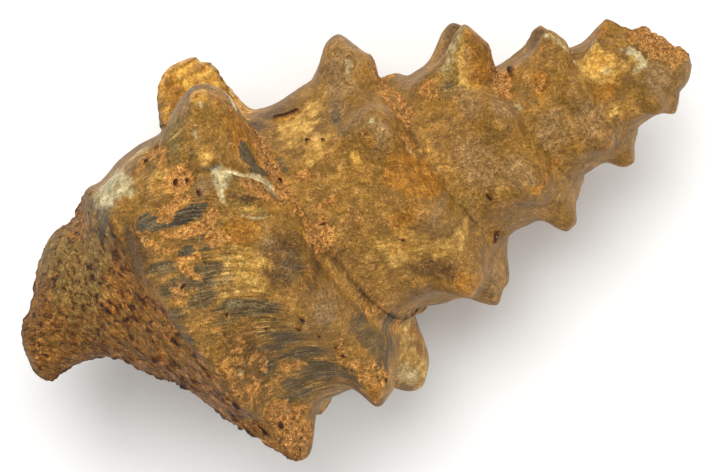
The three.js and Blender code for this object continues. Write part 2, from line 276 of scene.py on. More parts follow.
# What coats and stains the shell, and where shade is painted on it. A patch is along, around, its strength,
# its reach along and, if it differs, round in mm, and how far it is turned in degrees. A line is the places
# it runs through, its half width in mm and its strength.
shellPatches = {
    "sediment": [
        (63.4, -31, 0.9, 1.6, 1.3), (64.6, -25, 0.85, 1.7, 0.8, -10), (65.8, -21.6, 0.8, 1, 0.5, -3),
        (65.6, -50, 0.9, 1.5, 1.7), (64.4, -41, 0.6, 0.7, 1.2), (66.9, -45, 0.7, 0.9),
        (61.9, -9.5, 0.8, 1.3, 0.8, -20), (66.6, -12.4, 0.75, 1.3, 0.5, -10), (66, -4, 0.8, 1.3, 0.6, -60),
        (64.2, 27, 0.55, 2.2, 0.6, -25), (66.4, 31, 0.6, 2, 1.4, -30), (65.6, 45, 0.65, 1.2, 0.9),
        (61.4, 46, 0.6, 1.8, 0.8, -30), (56.1, 47, 0.9, 2.2, 0.45, 65), (55, 57, 0.6, 1.8, 0.9, -30),
        (53.7, 62, 0.8, 0.7), (50.8, 77, 0.6, 0.5, 1.4), (65.2, 69, 1, 2.8, 4), (65.4, 36, 0.36, 3.2, 7),
        (68.6, 70, 1, 1.2, 1), (67.4, 42, 0.55, 1, 2), (57.2, -21.6, 0.9, 1.3, 0.6, -25),
        (56.7, -17, 0.8, 1.3, 0.35, -28), (52.6, -25, 0.7, 1.1, 0.8, -20), (51, -8, 0.6, 1.5, 0.4, -5),
        (52.6, 3, 0.9, 0.9, 1.7), (37.9, -51, 0.75, 1, 1.2, -20), (31, -52, 0.9, 1.1, 1.5),
        (27.8, -30, 0.65, 0.8), (68, 2, 0.5, 0.8, 1.6, -20), (70.6, 15, 0.5, 0.8, 2.6, -10),
        (42.3, -88, 0.7, 1.2, 3), (17.2, -72, 0.8, 0.8, 1.4), (70, -152, 1, 6.5, 5.5)],
    "slate": [
        (64.3, -20, 1, 3, 0.8, -3), (68.1, -24.8, 1, 1.1, 0.8, 20), (67.2, -23, 1, 0.6),
        (65.4, -10, 1, 1, 0.55, -3), (63.2, -8, 0.9, 1.1, 0.2, -10), (56.7, -33, 0.85, 0.7, 1),
        (56.1, -29, 0.8, 0.8, 1.1, -50)],
    "grey": [
        (62.9, -13, 0.8, 0.8, 0.5), (67.8, -8, 0.85, 1.6, 0.9, -3), (65.2, -1, 0.95, 2.4, 1.2, -5),
        (65.6, 6, 0.95, 1.6, 0.9, -5), (68.1, 0, 0.85, 1.6, 1.1, -5), (61.7, 15, 1, 3.4, 1, -20),
        (60.2, 31, 1, 1.8, 1.1, -25), (62, 33, 0.95, 1.9, 0.6, -35), (63.2, 41, 0.95, 1, 1.2),
        (59.4, 42, 1, 2.8, 0.85, -25), (58.6, 54, 1, 3, 1.3, -33), (62.3, 53, 1, 1.2, 0.9, -33),
        (62.6, 59, 0.95, 2, 0.8, -10), (53.4, 49, 0.85, 2.1, 0.9, -80), (52.9, 60, 0.85, 1.3, 1, -60),
        (51.4, 67, 0.8, 1, 1.6), (61.6, -35, 0.8, 0.5), (54, -33, 0.7, 0.5, 1),
        (36.1, -45, 0.6, 0.9, 0.9, 30), (56.5, 8, 0.6, 1.4, 1.6, -60), (72.4, -38, 0.8, 1.3, 2, 60),
        (61, -52, 0.7, 0.8, 2, 20), (47.2, -44, 0.7, 0.6, 2.6), (69, 12, 0.6, 1.6, 3, -20),
        (64.6, 16, 0.7, 1.4, 0.8, -10)],
    "gold": [
        (51.2, -51, 0.85, 2.4, 2.6, -24), (49.3, -60, 0.7, 1.4, 1.2), (49.9, -38, 0.75, 1.5, 1.2),
        (51, -30, 0.85, 1.4, 0.7, -15), (60.6, 0, 0.6, 2.6, 1.7, -30), (61, 7, 0.6, 2.5, 1.1, -25),
        (64, 9.5, 0.7, 1.2, 0.8, -20), (43, 33, 0.9, 3.6, 1.1, -17), (46.2, 21, 0.6, 1.6, 1, -30),
        (46.4, 28, 0.58, 3.8, 2.8, -20), (21.5, -27, 0.85, 2.4, 2, -24), (22.8, -38, 0.75, 1.2, 1),
        (19.4, -14, 0.8, 1.2, 1), (59.8, -44.4, 0.8, 1.2, 1.1), (46.9, -21, 1, 0.45, 0.75, 10),
        (65.4, -34, 0.7, 1.3, 1.6, -10), (17.6, -18, 0.8, 0.8), (34, -46, 0.7, 0.8, 1.6, 20),
        (22.2, 24, 0.6, 1), (67, -58, 0.7, 1.6, 1.2), (60.4, -31.8, 0.7, 1.3, 0.9, -10),
        (58, -14.4, 0.6, 2, 0.3, -28), (51.8, 94, 0.75, 2.6)],
    "honey": [
        # the first patch: the tall spine's own honey yellow, made brighter as painted light shining through
        # it
        (59.6, -88, 1, 4, 5.5), (45.4, 26, 0.45, 3, 2.2, -20), (59.8, -44.4, 0.9, 0.9, 0.8),
        (21.5, -27, 0.45, 2, 1.6, -24), (46.9, -21, 0.7, 0.45, 0.75, 10)],
    "amber": [
        (59.4, -8.5, 0.9, 1.9, 1.4, -20), (55.7, 14, 0.5, 0.7, 1.4, -50), (42.9, -6, 1, 2.3, 1.9, -30),
        (41.6, 3, 0.95, 1.9, 1.1, -30), (44.6, 11, 0.6, 1.2, 2.6, -60), (33.2, -48, 1, 0.9, 1.8),
        (27.6, -29, 0.8, 1.2, 1.4), (22, 2, 0.85, 1.4, 1, -24), (24, 38, 0.8, 1.2, 0.6, -24),
        (42.2, 52, 0.65, 1.4, 1.6), (30.5, 33, 0.8, 2.2, 0.5, -20), (57.4, -38, 0.85, 1.1, 1.5),
        (75.7, -61.5, 1, 2, 1.7, -60), (17.9, -36, 0.9, 0.5), (45.1, -22, 0.7, 0.7, 0.9),
        (65.6, -33, 0.7, 1, 0.9), (61.7, -78, 0.9, 1.2, 1, -40), (55, 24, 0.5, 1),
        (20.6, -68, 0.8, 1.6, 1.4), (58.6, -44, 0.7, 0.8, 1.2), (59, -88, 0.3, 2.6, 4),
        (50.6, 97, 0.7, 0.8, 1.2), (55, 63, 0.6, 1.2)],
    "cream": [
        (70.6, -49, 1, 2.2, 3.2, 10), (69.2, -42, 0.8, 1.4, 1.5), (66.9, -58, 0.6, 1.2, 0.6),
        (61.8, -88, 0.7, 0.7, 0.9), (60, -41.6, 0.7, 0.3), (59.2, -27, 1, 0.9, 0.7),
        (58.8, -25.8, 0.9, 0.7, 0.9), (59.4, -25, 1, 0.75, 1.3), (55.9, -20.6, 0.85, 1.3, 0.6, -50),
        (44.2, -28, 0.9, 0.42), (42.7, -46, 0.65, 0.7, 0.6), (45, -63, 0.85, 0.36, 0.4),
        (35, -56, 0.4, 1.4, 0.8, 30), (33.9, -46, 0.4, 0.3, 0.7), (17.7, -8, 0.6, 0.7, 0.6),
        (65.8, 35, 0.8, 0.4), (61.1, -37, 0.8, 0.3), (63.1, 12, 0.45, 0.9, 0.5, -20),
        (63.4, 3.5, 0.4, 1.4, 0.5, -5), (21, -17, 0.5, 0.7, 0.5), (41.9, -19, 0.5, 0.8, 0.3, -60),
        (30.4, -21, 0.55, 0.9, 0.3, -60), (53, 95, 0.5, 1, 1.6), (51, 92, 0.35, 1, 0.9)],
    "lilac": [
        (55.4, 27, 1, 1.2, 1.7, -30), (57.6, -2, 0.7, 0.5, 1, -50), (61.6, -47, 0.9, 1, 2),
        (44.2, -23, 0.85, 1.3, 1.4), (45.8, -34, 0.6, 1.9, 1.6, -20), (41.3, 16, 0.7, 0.8, 1.6, -70),
        (40.3, 82, 0.6, 1.5, 2.4), (31.6, -18, 0.85, 1.3, 1.2), (16.8, 20, 0.85, 1.5, 1.6),
        (18.9, 1, 0.6, 1, 0.9), (24.4, 14, 0.6, 2, 2.4), (61.4, -25, 0.8, 1, 1.2), (47, -48, 0.6, 1.2, 2.4),
        (33, 20, 0.6, 1.8, 2.4), (46, -62, 0.7, 1.8, 2.4), (36, 8, 0.62, 2.6, 3.4, -20),
        (28, 6, 0.62, 1.8, 2.4, -20), (34.6, -30, 0.6, 1.6, 2), (62.8, -50, 0.6, 1.2, 1.4)],
    "olive": [
        (76.8, -46, 0.85, 4.6, 6.4), (73.8, -33, 0.9, 1.8, 2.6), (80, -66, 0.8, 2, 3),
        (63, -41, 0.7, 1, 1.8), (58, -14.2, 1, 2.5, 0.5, -28), (55, -19, 0.8, 0.9, 0.8, -50),
        (35, -52, 0.7, 2, 1.6, 30), (47.3, -42, 0.6, 0.5, 2.6), (47.6, -22, 0.5, 0.5, 1.4),
        (68.6, -38, 0.7, 1), (39.8, 26, 0.5, 1.6, 2, -60), (60.4, -12, 0.7, 1, 0.8, -20)],
    "stainAndShade": [
        # dark brown: real stains, and painted shade where they lie in hollows: the first patch in the fold by
        # the keel, two beside spines of the spire
        (69.8, -19, 1, 1.7, 2.6), (45, 43, 0.85, 3.2, 1.1, -14), (41.4, 66, 0.7, 1.4),
        (55.6, -62, 0.9, 1.4, 1.2), (53.2, -70, 0.7, 2.2, 1.3, -24), (34.6, -92, 0.7, 1.5, 1.8),
        (26.2, -80, 0.7, 1.4, 1.8), (56, 66, 0.7, 2, 1, -30), (52, 18, 0.5, 1.6, 1.4, -30),
        (57, 4, 0.85, 2.3, 3.2, -35), (54.8, 13, 0.7, 1.4, 2.6, -50), (65.2, 34, 0.55, 3.4, 6),
        (29, 10, 0.5, 0.6, 2, -60), (46.6, -58, 0.5, 0.9, 2.6), (47.4, 60, 0.5, 1.4, 1.8),
        (80, 10, 0.5, 3, 4)],
}
shellLines = {
    "sediment": [
        ([(66.8, -17.2), (65, -15.2), (63, -14.8), (61.2, -16)], 0.45, 0.9),
        ([(66.4, -27), (66, -23.4), (64.4, -23.6)], 0.25, 0.8), ([(66.6, -8.6), (64.4, -7)], 0.22, 0.9),
        ([(68.9, -22), (68.4, -18), (67.6, -13)], 0.3, 0.7), ([(41.9, -24), (41.5, -18.5)], 0.25, 0.8),
        ([(42.6, -76), (41.2, -62), (40.7, -44), (41.4, -32)], 0.35, 1),
        ([(36.6, 24), (36.4, 32)], 0.2, 0.7)],
    "cream": [
        ([(59.5, -27), (59.6, -22.7), (59.9, -19)], 0.38, 1),
        ([(58.9, -28), (57.9, -27), (56.6, -25.2)], 0.16, 0.8),
        ([(56.6, -25.2), (55.4, -22.4), (54.9, -18.4)], 0.3, 0.85),
        ([(58.7, -12), (57.6, -10.2), (56.6, -10)], 0.15, 0.6),
        ([(58.3, -73), (57.9, -58), (57.2, -45)], 0.3, 0.75),
        ([(25.8, -51), (24.9, -44), (23.9, -44)], 0.24, 0.6),
        ([(17.9, -38), (17.5, -26), (17.2, -12)], 0.45, 0.75), ([(37.4, 67), (38.4, 72)], 0.2, 0.7)],
    "stainAndShade": [
        # painted shade: dark lines in a groove, a hole and creases
        ([(61.2, -30.6), (60.2, -29.4), (59.2, -28.4)], 0.25, 0.9), ([(36.6, 26.4), (36.4, 30)], 0.2, 0.9),
        ([(59.2, -18.6), (58.2, -17.2), (57, -16.4)], 0.22, 1),
        ([(55, -34), (54.6, -22), (54.2, -12), (53.9, 2)], 0.3, 0.5)],
}

# What growth, breakage and the ground did to the surface, in millimetres and degrees. A pair of numbers says
# where something begins and where it is complete.
surfaceWork = {
    "rows": 640, "columns": 800, "evenRows": 0.62, "endGap": 1e-4, "keepTriangles": 194000,
    # rough unevenness: height, size, octaves, seed
    "wander": [(0.55, 2.6, 3, 11), (0.3, 0.9, 2, 15)],
    "swell": [(0.14, 5, 3, 31), (0.05, 1.3, 3, 35)],
    # edges of the coats, and how far they wander
    "patchEdge": (0.45, 1.45), "patchWander": 0.7, "lineEdge": (0.5, 1.7), "lineWander": 0.9,
    # what lies freely on the side turned to the ground, and its size, octaves, seed and step to the next seed
    "hiddenFrom": (75, 125), "hiddenRough": (5.5, 3, 90, 5), "hiddenChance": (0.08, 0.34),
    "hiddenCoats": [("sediment", 0.9), ("grey", 0.9), ("gold", 0.8), ("amber", 0.7), ("lilac", 0.7),
                    ("stainAndShade", 0.8)],
    "baseFrom": (0.70, 0.82), "baseWander": 0.06,
    # how far the growth lines trail behind, in degrees of growth, against whorls below the shoulder
    "lineTrail": [(-0.16, 0), (0, 10), (0.15, 18), (0.35, 25), (0.6, 29), (0.8, 32), (1.2, 40)],
    # the lines' pattern: arcShare is the whorl's radius against its place along the axis, linesApart keeps
    # neighbouring whorls from matching, and finerLines lie between the others
    "arcShare": 0.28, "lineSpacing": 0.75, "lineLength": 6, "lineHeight": 0.09, "linesApart": 9.1,
    "finerLines": (2.1, 1.4, 1), "finerHeight": 0.6,
    "linedFrom": (0.1, 0.3), "linedLess": (0.42, 0.62), "linedLessBy": 0.45, "linedLeast": 0.35,
    "linedHiddenBy": {"base": 0.7, "cream": 0.6},
    "seamDepth": 0.55, "seamWidth": 0.36, "seamWander": 0.12, "seamWanderSize": 2.2, "seamFilledUp": 0.8,
    "seamStillSharp": (1, 0.28, 0.18, 0.15, 0.12, 0.1), "rimHeight": 0.30, "rimBelowSeam": 0.6,
    "rimHalfWidth": 0.36, "rimBegins": (-5, 12), "rimEnds": (80, 110), "rimElsewhere": 0.3,
    # sediment in the seams: which seam, from and to which angle, half width and strength; it fades in and
    # out over fillFades
    "seamFills": [
        (0, -62, -16, 0.7, 1), (0, -16, -4, 0.35, 0.8), (0, -4, 9, 0.7, 1), (0, 9, 40, 0.16, 0.4),
        (0, 40, 62, 0.6, 0.6), (1, -92, -34, 0.4, 0.8), (2, -88, -34, 0.9, 0.9), (3, -85, -50, 0.6, 0.6),
        (1, -34, 30, 0.25, 0.3)],
    "fillFades": (6, 10), "fillEdge": (0.45, 1.4), "fillWander": 1.1,
    "crust": {"thickness": 0.1, "crumbSize": 0.6, "crumbHeight": 0.34, "crumbLeast": 0.6, "crumbMore": 0.8,
              "grainSize": 0.5, "grainShare": 0.35, "lumps": [(0.6, 2.2, 3, 55)],
              "poreFrom": (0.58, 0.85), "poreChance": (0.5, 0.8)},
    "rubble": {"place": (65.3, 69), "reach": 3.8, "edge": (0.6, 1.25), "size": 1.1, "height": 0.5,
               "middle": 0.55, "least": 0.4, "gapFrom": (0.62, 0.9), "gapShade": 0.5},
    "pits": {"across": 0.8, "along": 1.9, "depth": 0.46, "warp": 0.35, "apart": 7.7, "opens": (0.15, 0.6),
             "chance": (0.35, 0.65), "finer": 1.8, "finerOpens": (0.1, 0.5), "finerChance": (0.4, 0.7),
             "finerShare": 0.65, "underOlive": 0.8, "least": 0.55, "more": 0.45, "moreFrom": (-0.15, 0.2),
             "uneven": [(1, 4, 2, 63)], "fewerFrom": (76, 80), "fewerBy": 0.5, "between": 0.03,
             "creases": [(1, 1.6, 2, 65)], "crease": 0.12, "creaseWidth": 0.08, "shade": 1.5},
    "slateDepth": 0.10, "slateFrom": (0.4, 0.7),
    # lumps and holes: along, around, height or depth, then reach and turn as for a patch
    "lumps": [
        (69.6, -18, -0.7, 1.2, 3), (69.4, -10, -0.4, 1, 2), (60.4, -32.4, 0.4, 1.3, 1, -10),
        (43, 6, 0.35, 1.8, 2.2, -30), (63.8, -80, -0.9, 0.9, 1.8), (62.4, -91, 0.7, 0.8, 1.2),
        (57, -20.4, -0.75, 1.7, 1.6, -25), (44.2, -28, 0.35, 0.8), (59.8, -44, -0.35, 0.9, 0.8),
        (58, -12.6, 0.3, 2.2, 0.5, -28), (68.6, -2, -0.35, 0.8, 4), (71, -52, 0.3, 1.6, 2.4),
        (65.6, -53, 0.6, 1.5, 1.4), (73.6, -60, -0.4, 0.8, 1.8), (39.6, 28, -0.3, 1.2, 2.2, -50),
        (51.2, -36, -0.25, 1.6, 2.6), (33.2, -50, -0.3, 0.7, 1.2)],
    "holes": [
        (50.6, -39, 0.63, 0.26, 0.21), (49.1, -35, 0.56, 0.18, 0.15), (45.8, 22, 0.35, 0.26, 0.22),
        (36.5, 28, 0.77, 0.18, 0.46, 20), (37.9, 67, 0.63, 0.17, 0.38),
        (63.8, -31.4, 0.63, 0.26, 0.38, -24), (62.6, -30, 0.56, 0.22, 0.3, 24),
        (61.8, -24, 0.49, 0.22, 0.38, 20), (29.6, -54, 0.84, 0.38, 0.45), (65.2, 64, 0.63, 0.26, 0.34),
        (57.7, 25, 0.56, 0.22, 0.41, 10), (58.6, 29, 0.35, 0.19, 0.38, 20), (56.2, 50, 0.49, 0.19, 0.22),
        (56.4, 45, 0.35, 0.15, 0.26), (67.1, 0, 0.42, 0.38, 0.15, 30), (64.2, 14, 0.35, 0.22, 0.15, 40),
        (61.4, 24, 0.24, 0.22, 0.19), (54.7, -26, 0.49, 0.22, 0.26), (73.4, 28, 0.63, 0.38, 0.45),
        (53.6, 63, 0.35, 0.15, 0.22), (57.2, 36, 0.28, 0.15, 0.3), (66, -45, 0.42, 0.3, 0.22)],
    # the places a ridge, groove or crack runs through, its height or depth, and its half width
    "ridges": [
        ([(59.1, -28), (58.1, -27), (56.8, -25), (55.6, -22.4), (55, -18)], 0.5, 0.34),
        ([(59.2, -26), (59.5, -22.7), (59.9, -18.6)], 0.6, 0.42),
        ([(59.6, -15.6), (58.4, -14.6), (57, -13.2), (55.8, -12.8)], 0.4, 0.3),
        ([(58.9, -12), (57.6, -10.2), (56.6, -10)], 0.25, 0.25),
        ([(61.4, -31), (60.2, -29.6), (59.2, -28.6)], -0.35, 0.28),
        ([(70.5, -28), (72, -14), (71.6, -1), (70.6, 8.6), (69.6, 22), (68.6, 34.6)], 0.3, 0.4),
        ([(42.4, -27), (41.7, -20), (41.8, -12)], 0.3, 0.4), ([(38, 64), (37.5, 74)], 0.4, 0.3),
        ([(73.4, -66), (72, -50), (71, -40)], 0.3, 0.5), ([(71.2, -34), (71, -24), (70.6, -16)], 0.35, 0.35)],
    "cracks": [
        ([(53.3, -64), (52, -62.4), (50.8, -62)], 0.5, 0.2),
        ([(37.6, 62), (38.1, 64.6), (38.6, 67.3)], 0.5, 0.16)],
    "shapeWander": {"ridges": 0.12, "cracks": 0.1, "holes": 0.4, "plates": 0.5},
    # thin plates stepped across the tall broken spine, with a painted shadow under each step
    "plates": {"at": 59.4, "angle": -91, "reachAlong": 3.8, "reachDegrees": 18, "foot": 14.2,
               "begins": (0, 1.5), "spacing": 1, "step": 0.36, "shadow": (0, 0.2), "shade": 0.7},
    # the apex is broken off along two slanting, granular faces: a point on each and the way it faces, and
    # how rough they are: height, size, octaves, seed, step to the next seed, gain
    "breaks": [((16.2, -4.3, 0), (-0.64, -0.68, 0.60)), ((14.6, -2.4, 0), (-0.80, -0.55, -0.20))],
    "breakRough": (0.7, 1.5, 4, 71, 9, 0.6), "breakWithin": 24, "breakCrust": (-0.3, 0.2),
    "breakCrustEnds": (15.2, 16.6), "breakCrustSlant": 0.02, "levelRounds": 40, "reliefFull": 0.22,
}


def sideOf(here, angle):  # distance round the shell from an angle, in mm
    return np.radians(wrapDegrees(here["around"] - angle)) * here["radius"]


def fromPlace(here, at, angle, reachAlong, reachRound=None, turned=0):  # distance from a place, in reaches
    reachRound = reachRound or reachAlong
    dx, dy = here["along"] - at, sideOf(here, angle)
    c, s = math.cos(math.radians(turned)), math.sin(math.radians(turned))
    return np.hypot((dx * c + dy * s) / reachAlong, (dy * c - dx * s) / reachRound)


def fromLine(here, places):  # distance in mm from a line drawn through places
    nearest = np.full(here["along"].shape, farMm)
    for (along1, around1), (along2, around2) in zip(places, places[1:]):
        dx, dy = here["along"] - along1, sideOf(here, around1)
        ex, ey = along2 - along1, math.radians(around2 - around1) * here["radius"]
        share = np.clip((dx * ex + dy * ey) / (ex * ex + ey * ey), 0, 1)
        nearest = np.minimum(nearest, np.hypot(dx - share * ex, dy - share * ey))
    return nearest


def layOut():  # every place on the fine grid, and its coordinates along growth lines and along the coil
    form, work = shellForm, surfaceWork
    share = np.linspace(0, 1, work["rows"])
    evenly = form["apexAt"] + (form["canalAt"] - form["apexAt"]) * share
    byGrowth = form["apexAt"] * (form["canalAt"] / form["apexAt"]) ** share
    rowsAt = work["evenRows"] * evenly + (1 - work["evenRows"]) * byGrowth
    rowsAt[0] += work["endGap"]
    rowsAt[-1] -= work["endGap"]
    degrees = np.arange(work["columns"]) * 360 / work["columns"] - 180
    along, around = np.meshgrid(rowsAt, degrees, indexing="ij")
    points, radius = plainSurface(along, around)
    growth, turn, whorl = turnPlace(along, around)
    trail = curveThrough(work["lineTrail"], turn)
    arcPerShoulder = 360 * work["arcShare"] * math.pi / 180 / growthLog
    below = (turn - form["suture"]) * growthLog * along
    above = np.where(whorl > 0, (1 + form["suture"] - turn) * growthLog * along, farMm)
    return {"along": along, "around": around, "angle": wrapDegrees(around), "points": points,
            "radius": radius, "turn": turn, "whorl": whorl,
            "lineAcross": arcPerShoulder * shoulderRow(growth - trail), "lineAlong": along,
            "coilAcross": (turn - form["basalRidge"]) * growthLog * along,
            "coilAlong": arcPerShoulder * shoulderRow(growth),
            "belowSeam": below, "seam": np.minimum(below, above),
            "seamOf": np.where(below <= above, whorl, whorl - 1),
            "wander": roughSum(points, work["wander"]),
            "hidden": ease(*work["hiddenFrom"], np.abs(wrapDegrees(around)))}


def coatSurface(here):  # how much of each coating and stain, painted shade included, lies at every place, 0 to 1
    work = surfaceWork
    wander = here["wander"]
    coats = {}
    for name, patches in shellPatches.items():
        coat = np.zeros(here["along"].shape)
        for at, angle, strength, *reach in patches:
            away = fromPlace(here, at, angle, *reach) + work["patchWander"] * wander
            coat = np.maximum(coat, strength * (1 - ease(*work["patchEdge"], away)))
        for places, halfWidth, strength in shellLines.get(name, []):
            away = fromLine(here, places) / halfWidth + work["lineWander"] * wander
            coat = np.maximum(coat, strength * (1 - ease(*work["lineEdge"], away)))
        coats[name] = coat
    size, octaves, seed, step = work["hiddenRough"]
    for number, (name, strength) in enumerate(work["hiddenCoats"]):
        scattered = roughField(here["points"], size, octaves, seed + step * number)
        chance = ease(*work["hiddenChance"], scattered)
        coats[name] = np.maximum(coats[name], strength * chance * here["hidden"])
    fill = np.zeros(here["along"].shape)
    begin, finish = work["fillFades"]
    for number, start, end, wide, strength in work["seamFills"]:
        inside = ease(start - begin, start + begin, here["angle"])
        inside = inside * (1 - ease(end - begin, end + finish, here["angle"]))
        near = 1 - ease(*work["fillEdge"], here["seam"] / wide + work["fillWander"] * wander)
        fill = np.maximum(fill, strength * inside * near * (here["seamOf"] == number))
    coats["seamFill"] = fill
    coats["sediment"] = np.maximum(coats["sediment"], fill)
    lastWhorl = here["whorl"] == 0
    base = ease(*work["baseFrom"], here["turn"] + work["baseWander"] * wander) * lastWhorl
    coats["base"] = base
    hiddenBy = work["linedHiddenBy"]
    lined = ease(*work["linedFrom"], here["turn"]) * lastWhorl * (1 - hiddenBy["base"] * base)
    lined *= 1 - work["linedLessBy"] * ease(*work["linedLess"], here["turn"])
    lined = np.maximum(lined, work["linedLeast"]) * (1 - coats["sediment"])
    coats["lined"] = lined * (1 - hiddenBy["cream"] * coats["cream"])
    return coats


def seamRelief(here, coats):
    work = surfaceWork
    sharp = np.take(np.array(work["seamStillSharp"]), np.clip(here["seamOf"], 0, 5).astype(int))
    wandering = here["seam"] + work["seamWander"] * noiseField(here["points"] / work["seamWanderSize"], 21)
    groove = work["seamDepth"] * sharp * bell(wandering / work["seamWidth"])
    groove = groove * (1 - work["seamFilledUp"] * coats["seamFill"])
    raised = ease(*work["rimBegins"], here["angle"]) * (1 - ease(*work["rimEnds"], here["angle"]))
    raised = raised * (here["whorl"] == 0) + work["rimElsewhere"] * sharp
    rim = work["rimHeight"] * raised * bell((here["belowSeam"] - work["rimBelowSeam"]) / work["rimHalfWidth"])
    return rim * (1 - coats["seamFill"]) - groove


def sedimentRelief(here, coats):  # a crumbly crust with pores, heaped into rubble on the front basal knob; also gives painted shade for the pores and the gaps between the stones
    crust, rubble, points = surfaceWork["crust"], surfaceWork["rubble"], here["points"]
    crumbs, crumbOwn = cellField(points / crust["crumbSize"], 51)
    grain = cellField(points / crust["grainSize"], 52)[0]
    lumpy = (0.5 - crumbs) * (crust["crumbLeast"] + crust["crumbMore"] * crumbOwn)
    lumpy = lumpy + (0.5 - grain) * crust["grainShare"]
    lumpy = lumpy + roughSum(points, crust["lumps"])
    height = coats["sediment"] * (crust["thickness"] + crust["crumbHeight"] * lumpy)
    stones, stoneOwn = cellField(points / rubble["size"], 57)
    away = fromPlace(here, *rubble["place"], rubble["reach"])
    heaped = 1 - ease(*rubble["edge"], away)
    height += heaped * rubble["height"] * (rubble["middle"] - stones) * (rubble["least"] + stoneOwn)
    pores = coats["sediment"] * ease(*crust["poreFrom"], crumbs) * ease(*crust["poreChance"], crumbOwn)
    return height, np.maximum(pores, rubble["gapShade"] * heaped * ease(*rubble["gapFrom"], stones))


def baseRelief(here, coats):  # the base is eaten into pits that run along the coil; also gives painted shade for the pits
    pits = surfaceWork["pits"]
    warp = pits["warp"] * here["wander"]
    place = np.stack([here["coilAcross"] / pits["across"] + warp, here["coilAlong"] / pits["along"] + warp,
                      here["whorl"] * pits["apart"]], -1)
    wide, wideOwn = cellField(place, 61)
    small, smallOwn = cellField(place * pits["finer"], 62)
    wideOpen = (1 - ease(*pits["opens"], wide)) * ease(*pits["chance"], wideOwn)
    smallOpen = (1 - ease(*pits["finerOpens"], small)) * ease(*pits["finerChance"], smallOwn)
    eaten = coats["base"] * (1 - pits["underOlive"] * coats["olive"])
    uneven = ease(*pits["moreFrom"], roughSum(here["points"], pits["uneven"]))
    eaten = eaten * (pits["least"] + pits["more"] * uneven)
    eaten = eaten * (1 - pits["fewerBy"] * ease(*pits["fewerFrom"], here["along"]))
    creases = bell(np.abs(roughSum(place, pits["creases"])) / pits["creaseWidth"])
    pit = np.maximum(wideOpen, pits["finerShare"] * smallOpen)
    height = eaten * (pits["between"] - pits["depth"] * pit - pits["crease"] * creases)
    return height, np.clip(pits["shade"] * eaten * pit, 0, 1)


def shapeRelief(here):  # bumps, ridges, holes and plates left by growth and breakage, and painted shade in the cracks, the holes and under each plate's step
    work = surfaceWork
    wander = {name: share * here["wander"] for name, share in work["shapeWander"].items()}
    height = np.zeros(here["along"].shape)
    hollowShade = np.zeros(here["along"].shape)
    for at, angle, rise, *reach in work["lumps"]:
        height += rise * bell(fromPlace(here, at, angle, *reach))
    for places, depth, halfWidth in work["cracks"]:
        opened = bell((fromLine(here, places) + wander["cracks"]) / halfWidth)
        height -= depth * opened
        hollowShade = np.maximum(hollowShade, opened)
    for places, rise, halfWidth in work["ridges"]:
        height += rise * bell((fromLine(here, places) + wander["ridges"]) / halfWidth)
    for at, angle, depth, *reach in work["holes"]:
        dent = np.exp(-(fromPlace(here, at, angle, *reach) + wander["holes"]) ** 3)
        height -= depth * np.clip(dent, 0, 1)
        hollowShade = np.maximum(hollowShade, np.clip(dent, 0, 1))
    plates = work["plates"]
    onSpine = bell((here["along"] - plates["at"]) / plates["reachAlong"])
    onSpine = onSpine * bell(wrapDegrees(here["around"] - plates["angle"]) / plates["reachDegrees"])
    lift = np.hypot(here["points"][..., 1], here["points"][..., 2]) - plates["foot"]
    begun = ease(*plates["begins"], lift)
    across = np.mod(lift / plates["spacing"] + wander["plates"], 1)
    height += plates["step"] * onSpine * (across - 0.5) * begun
    hollowShade = np.maximum(hollowShade, plates["shade"] * onSpine * begun * (1 - ease(*plates["shadow"], across)))
    return height, hollowShade


def breakApex(points, along, around, sediment):
    work = surfaceWork
    height, size, octaves, seed, step, gain = work["breakRough"]
    for number, (through, facing) in enumerate(work["breaks"]):
        facing = np.array(facing) / np.linalg.norm(facing)
        beyond = (points - np.array(through)) @ facing
        beyond = beyond + height * roughField(points, size, octaves, seed + step * number, gain)
        within = along < work["breakWithin"]
        slanting = along + work["breakCrustSlant"] * wrapDegrees(around)
        crusted = 1 - ease(*work["breakCrustEnds"], slanting)
        sediment = np.maximum(sediment, ease(*work["breakCrust"], beyond) * crusted)
        points = points - np.where((beyond > 0) & within, beyond, 0)[..., None] * facing
    return points, sediment


def workSurface():
    work = surfaceWork
    here = layOut()
    print("plain shell shaped")
    coats = coatSurface(here)
    print("coatings placed")
    points = here["points"]
    height = roughSum(points, work["swell"])
    linePlace = np.stack([here["lineAcross"] / work["lineSpacing"], here["lineAlong"] / work["lineLength"],
                          here["whorl"] * work["linesApart"]], -1)
    lines = noiseField(linePlace, 41)
    lines = lines + work["finerHeight"] * noiseField(linePlace * np.array(work["finerLines"]), 42)
    height += work["lineHeight"] * lines * coats["lined"]
    height -= work["slateDepth"] * ease(*work["slateFrom"], coats["slate"]) * (1 - coats["base"])
    height += seamRelief(here, coats)
    crust, pores = sedimentRelief(here, coats)
    eaten, pits = baseRelief(here, coats)
    shape, holes = shapeRelief(here)
    height += crust + eaten + shape
    level = height.copy()  # how far each place lies below or above the ground around it
    for _ in range(work["levelRounds"]):
        level = 0.5 * level + 0.125 * (np.roll(level, 1, 1) + np.roll(level, -1, 1)
                                       + np.vstack([level[:1], level[:-1]])
                                       + np.vstack([level[1:], level[-1:]]))
    coats["relief"] = np.clip((height - level) / work["reliefFull"], -1, 1)
    points = points + outwardNormals(points) * height[..., None]
    points, coats["sediment"] = breakApex(points, here["along"], here["around"], coats["sediment"])
    # painted shade: the pores, pits, holes, cracks and the plates' undersides, darkened in the finish
    coats["hollowShade"] = np.maximum(np.maximum(pores, pits), holes)
    for name in ("lineAcross", "lineAlong", "coilAcross", "coilAlong"):
        coats[name] = here[name]
    print("surface worked")
    return points, coats


